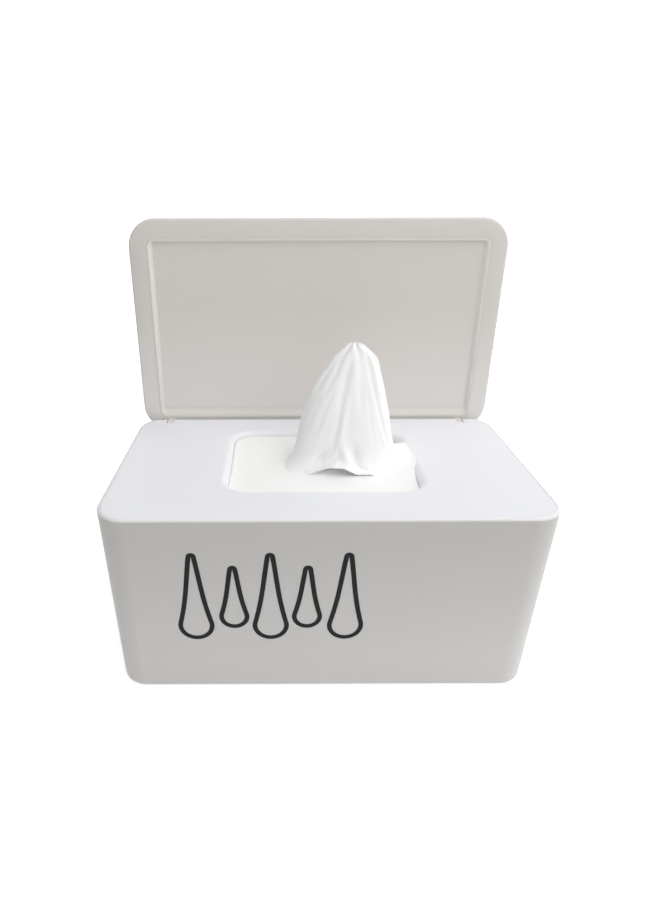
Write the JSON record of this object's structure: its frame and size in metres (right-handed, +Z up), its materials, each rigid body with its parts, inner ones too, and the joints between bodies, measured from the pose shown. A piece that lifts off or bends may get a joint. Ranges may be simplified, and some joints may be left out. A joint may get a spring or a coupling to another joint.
{
  "type": "countertop wipes dispenser",
  "caption": "Drafted box for a pile of folded wet wipes, with a drop-in frame whose rolled opening lets them be pulled out one at a time, and a flat gasketed lid hinged at the back.",
  "frame": {"origin": "centre of the base, on the plane that the four feet stand on", "axes": "+X to the right seen from the front, +Y to the back where the hinge is, +Z up"},
  "size_m": [0.195, 0.1207, 0.1997],
  "materials": {
    "shell_plastic": "fine satin moulded polypropylene, warm white",
    "frame_plastic": "smooth satin moulded polypropylene, cool white",
    "lid_plastic": "fine satin moulded polypropylene, warm white",
    "gasket_silicone": "translucent white silicone",
    "foot_rubber": "soft grey rubber",
    "wipe_nonwoven": "soft embossed spunlace nonwoven, moist"
  },
  "bodies": {
    "tub": {"box_shell": "shell_plastic", "foot_front_left": "foot_rubber", "foot_front_right": "foot_rubber", "foot_rear_left": "foot_rubber", "foot_rear_right": "foot_rubber", "wipe_stack": "wipe_nonwoven"},
    "frame": {"top_frame": "frame_plastic"},
    "lid": {"lid": "lid_plastic", "lid_gasket": "gasket_silicone"},
    "wipe": {"pulled_wipe": "wipe_nonwoven"}
  },
  "joints": [
    {"name": "frame_lift", "type": "slide", "parent": "tub", "child": "frame", "axis": [0, 0, 1], "range_m": [0, 0.1]},
    {"name": "lid_hinge", "type": "hinge", "parent": "frame", "child": "lid", "pos_m": [0, 0.05295, 0.0902], "axis": [-1, 0, 0], "range_deg": [-92, 0], "deforming": ["pulled_wipe"]},
    {"name": "wipe_pull", "type": "slide", "parent": "tub", "child": "wipe", "axis": [0, 0, 1], "range_m": [0, 0.09]}
  ]
}
